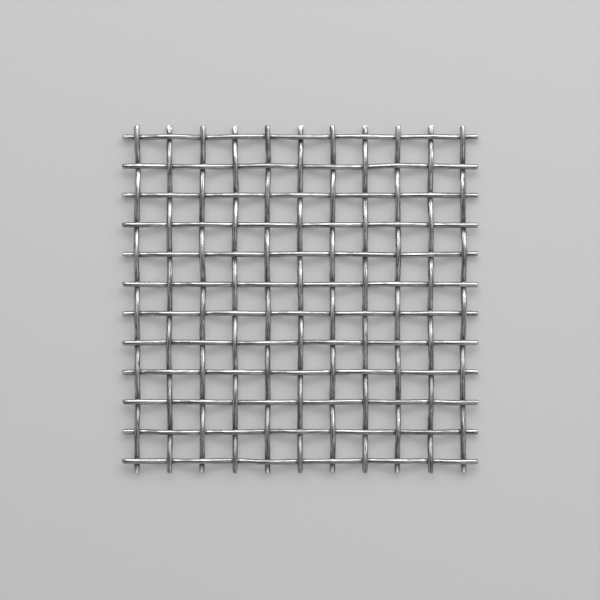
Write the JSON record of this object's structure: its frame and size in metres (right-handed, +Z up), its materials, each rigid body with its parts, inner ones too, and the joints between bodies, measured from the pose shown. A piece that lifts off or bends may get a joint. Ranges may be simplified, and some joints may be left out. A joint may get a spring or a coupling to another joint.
{
  "type": "wire gauze",
  "caption": "Square open-mesh gauze of plain-woven, crimped round steel wire with projecting cut ends, laid on a stand to carry a vessel over a flame.",
  "frame": {"origin": "centre of the square, on the plane that its lowest crimps rest on", "axes": "+X along the weft wires, the longer side; +Y along the warp wires, towards the top of the picture; +Z up through the thickness, towards the viewer of the picture"},
  "size_m": [0.1, 0.0976, 0.0032],
  "materials": {
    "steel_wire": "bright drawn wire with fine lengthwise draw lines"
  },
  "bodies": {
    "root": {"warp_wire_01": "steel_wire", "warp_wire_02": "steel_wire", "warp_wire_03": "steel_wire", "warp_wire_04": "steel_wire", "warp_wire_05": "steel_wire", "warp_wire_06": "steel_wire", "warp_wire_07": "steel_wire", "warp_wire_08": "steel_wire", "warp_wire_09": "steel_wire", "warp_wire_10": "steel_wire", "warp_wire_11": "steel_wire", "weft_wire_01": "steel_wire", "weft_wire_02": "steel_wire", "weft_wire_03": "steel_wire", "weft_wire_04": "steel_wire", "weft_wire_05": "steel_wire", "weft_wire_06": "steel_wire", "weft_wire_07": "steel_wire", "weft_wire_08": "steel_wire", "weft_wire_09": "steel_wire", "weft_wire_10": "steel_wire", "weft_wire_11": "steel_wire", "weft_wire_12": "steel_wire"}
  },
  "joints": []
}
